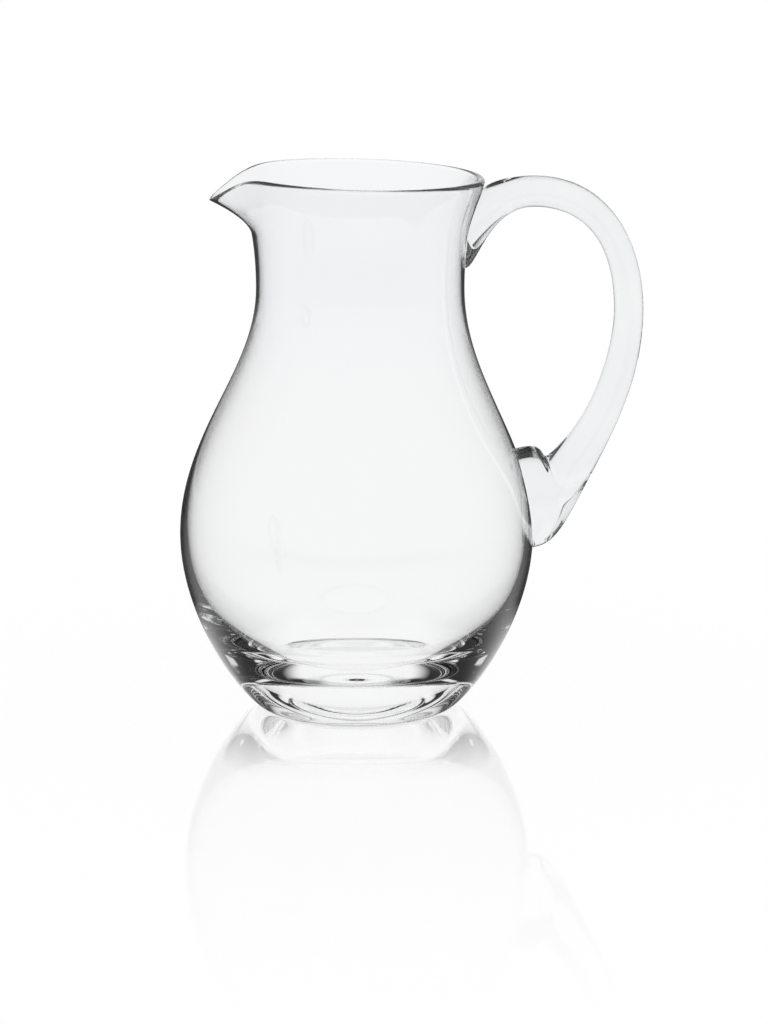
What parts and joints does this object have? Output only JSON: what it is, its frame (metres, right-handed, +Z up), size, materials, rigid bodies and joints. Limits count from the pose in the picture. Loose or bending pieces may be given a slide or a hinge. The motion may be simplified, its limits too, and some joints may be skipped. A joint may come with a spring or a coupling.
{
  "type": "water jug",
  "caption": "Clear hand-blown glass water jug with a round belly, a drawn pouring spout and a looped glass handle sealed at neck and belly.",
  "frame": {"origin": "on the table plane, on the axis of the vessel, under the middle of the foot", "axes": "+Z up, -X along the spout, +X along the handle, Y across the jug's middle plane"},
  "size_m": [0.1849, 0.1418, 0.2159],
  "materials": {
    "vessel_glass": "clear, fire-polished",
    "handle_glass": "clear, fire-polished"
  },
  "bodies": {
    "root": {"blown_body": "vessel_glass", "applied_handle": "handle_glass"}
  },
  "joints": []
}
